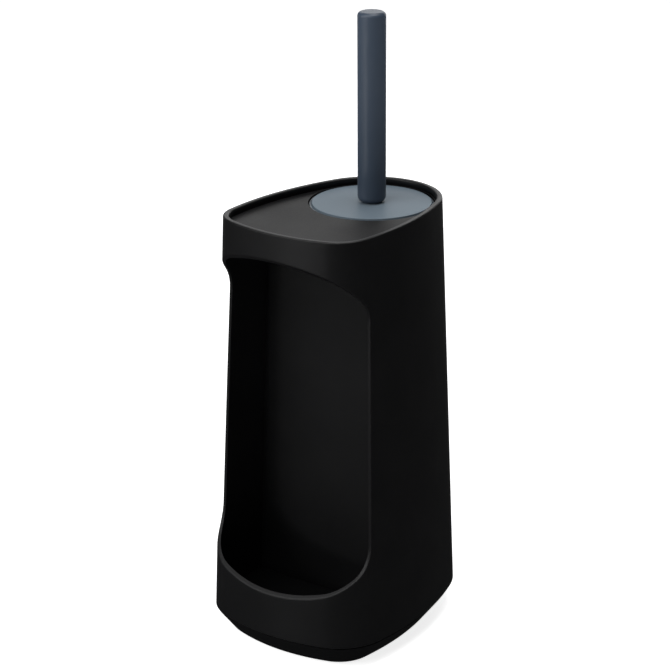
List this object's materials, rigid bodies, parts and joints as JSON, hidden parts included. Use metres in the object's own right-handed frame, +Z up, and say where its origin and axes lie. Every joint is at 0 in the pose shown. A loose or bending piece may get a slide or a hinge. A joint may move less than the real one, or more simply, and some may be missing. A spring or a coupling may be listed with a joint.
{
  "type": "toilet brush holder",
  "caption": "Free-standing black toilet brush holder with a wrap-round bay for spare rolls, a recessed deck, a lift-out drip cup, and a brush with a round lid and a straight handle.",
  "frame": {"origin": "on the floor, under the middle of the housing's bounding box", "axes": "+Z up, -Y out of the open front of the roll bay, +X to the side; the brush stands in the rear lobe at +Y"},
  "size_m": [0.193, 0.249, 0.5982],
  "materials": {
    "housing_black": "fine satin grain, black",
    "deck_black": "fine satin grain, black",
    "bay_black": "fine satin grain, black",
    "base_black": "matt black",
    "screw_steel": "zinc plated",
    "foot_rubber": "matt soft rubber",
    "cup_grey": "smooth grey",
    "lid_blue_grey": "soft matt blue grey",
    "grip_blue_grey": "soft-touch blue grey",
    "stem_white": "smooth white",
    "nut_black": "matt black",
    "stud_steel": "stainless",
    "insert_brass": "turned brass",
    "core_white": "smooth white",
    "bristle_white": "nylon tufts"
  },
  "bodies": {
    "holder": {"outer_shell": "housing_black", "top_deck": "deck_black", "partition_panel": "bay_black", "base_plinth": "base_black", "base_screws": "screw_steel", "rubber_feet": "foot_rubber"},
    "drip_cup_body": {"drip_cup": "cup_grey"},
    "lid": {"lid_disc": "lid_blue_grey"},
    "brush": {"handle_grip": "grip_blue_grey", "brush_stem": "stem_white", "lid_nut": "nut_black", "thread_stud": "stud_steel"},
    "brush_head": {"head_insert": "insert_brass", "head_core": "core_white", "bristles": "bristle_white"}
  },
  "joints": [
    {"name": "cup_lift", "type": "slide", "parent": "holder", "child": "drip_cup_body", "axis": [0, 0, 1], "range_m": [0, 0.3]},
    {"name": "brush_lift", "type": "slide", "parent": "drip_cup_body", "child": "lid", "axis": [0, 0, 1], "range_m": [0, 0.27]},
    {"name": "brush_turn", "type": "hinge", "parent": "lid", "child": "brush", "pos_m": [0, 0.0436, 0.45], "axis": [0, 0, 1], "continuous": true},
    {"name": "head_unscrew", "type": "slide", "parent": "brush", "child": "brush_head", "axis": [0, 0, -1], "range_m": [0, 0.016]}
  ]
}
